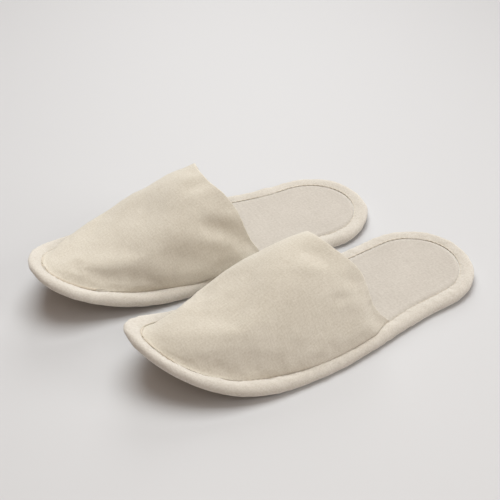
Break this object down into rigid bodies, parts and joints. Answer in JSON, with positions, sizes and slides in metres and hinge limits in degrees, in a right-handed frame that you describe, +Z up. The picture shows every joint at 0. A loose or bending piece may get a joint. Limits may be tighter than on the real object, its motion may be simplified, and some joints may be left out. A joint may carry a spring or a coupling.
{
  "type": "spa slippers",
  "caption": "Pair of closed-toe spa slippers with a soft padded fabric upper, a linen insole and a cloth-bound foam sole that curls up at the toe.",
  "frame": {"origin": "centre of the pair on the floor", "axes": "+Z up; toes point to -Y and heels to +Y; the left slipper is at +X and the right one at -X"},
  "size_m": [0.228, 0.304, 0.073],
  "materials": {
    "upper_cloth": "smooth cream cotton-linen weave, matt",
    "upper_foam": "off-white soft foam interlining",
    "upper_lining": "cream brushed cotton lining",
    "binding_cloth": "cream cotton-linen binding cloth, matt",
    "insole_linen": "coarse greyish undyed linen weave",
    "sponge": "white open-cell sponge",
    "outsole_foam": "matt beige EVA foam with a fine non-slip tread",
    "thread": "spun cream thread"
  },
  "bodies": {
    "left_front": {"left_outsole_front": "outsole_foam", "left_sponge_front": "sponge", "left_insole_front": "insole_linen", "left_binding_front": "binding_cloth", "left_seam_front": "thread", "left_upper_cloth": "upper_cloth", "left_upper_foam": "upper_foam", "left_upper_lining": "upper_lining"},
    "left_heel": {"left_outsole_heel": "outsole_foam", "left_sponge_heel": "sponge", "left_insole_heel": "insole_linen", "left_binding_heel": "binding_cloth", "left_seam_heel": "thread"},
    "right_front": {"right_outsole_front": "outsole_foam", "right_sponge_front": "sponge", "right_insole_front": "insole_linen", "right_binding_front": "binding_cloth", "right_seam_front": "thread", "right_upper_cloth": "upper_cloth", "right_upper_foam": "upper_foam", "right_upper_lining": "upper_lining"},
    "right_heel": {"right_outsole_heel": "outsole_foam", "right_sponge_heel": "sponge", "right_insole_heel": "insole_linen", "right_binding_heel": "binding_cloth", "right_seam_heel": "thread"}
  },
  "joints": [
    {"name": "right_slipper_lift", "type": "slide", "parent": "left_front", "child": "right_front", "axis": [0, 0, 1], "range_m": [0, 0.12]},
    {"name": "left_sole_bend", "type": "hinge", "parent": "left_front", "child": "left_heel", "pos_m": [0.056, 0.055, 0.009], "axis": [1, 0, 0], "range_deg": [0, 45], "stiffness_Nm_per_rad": 0.12},
    {"name": "right_sole_bend", "type": "hinge", "parent": "right_front", "child": "right_heel", "pos_m": [-0.056, 0.031, 0.009], "axis": [1, 0, 0], "range_deg": [0, 45], "stiffness_Nm_per_rad": 0.12}
  ]
}
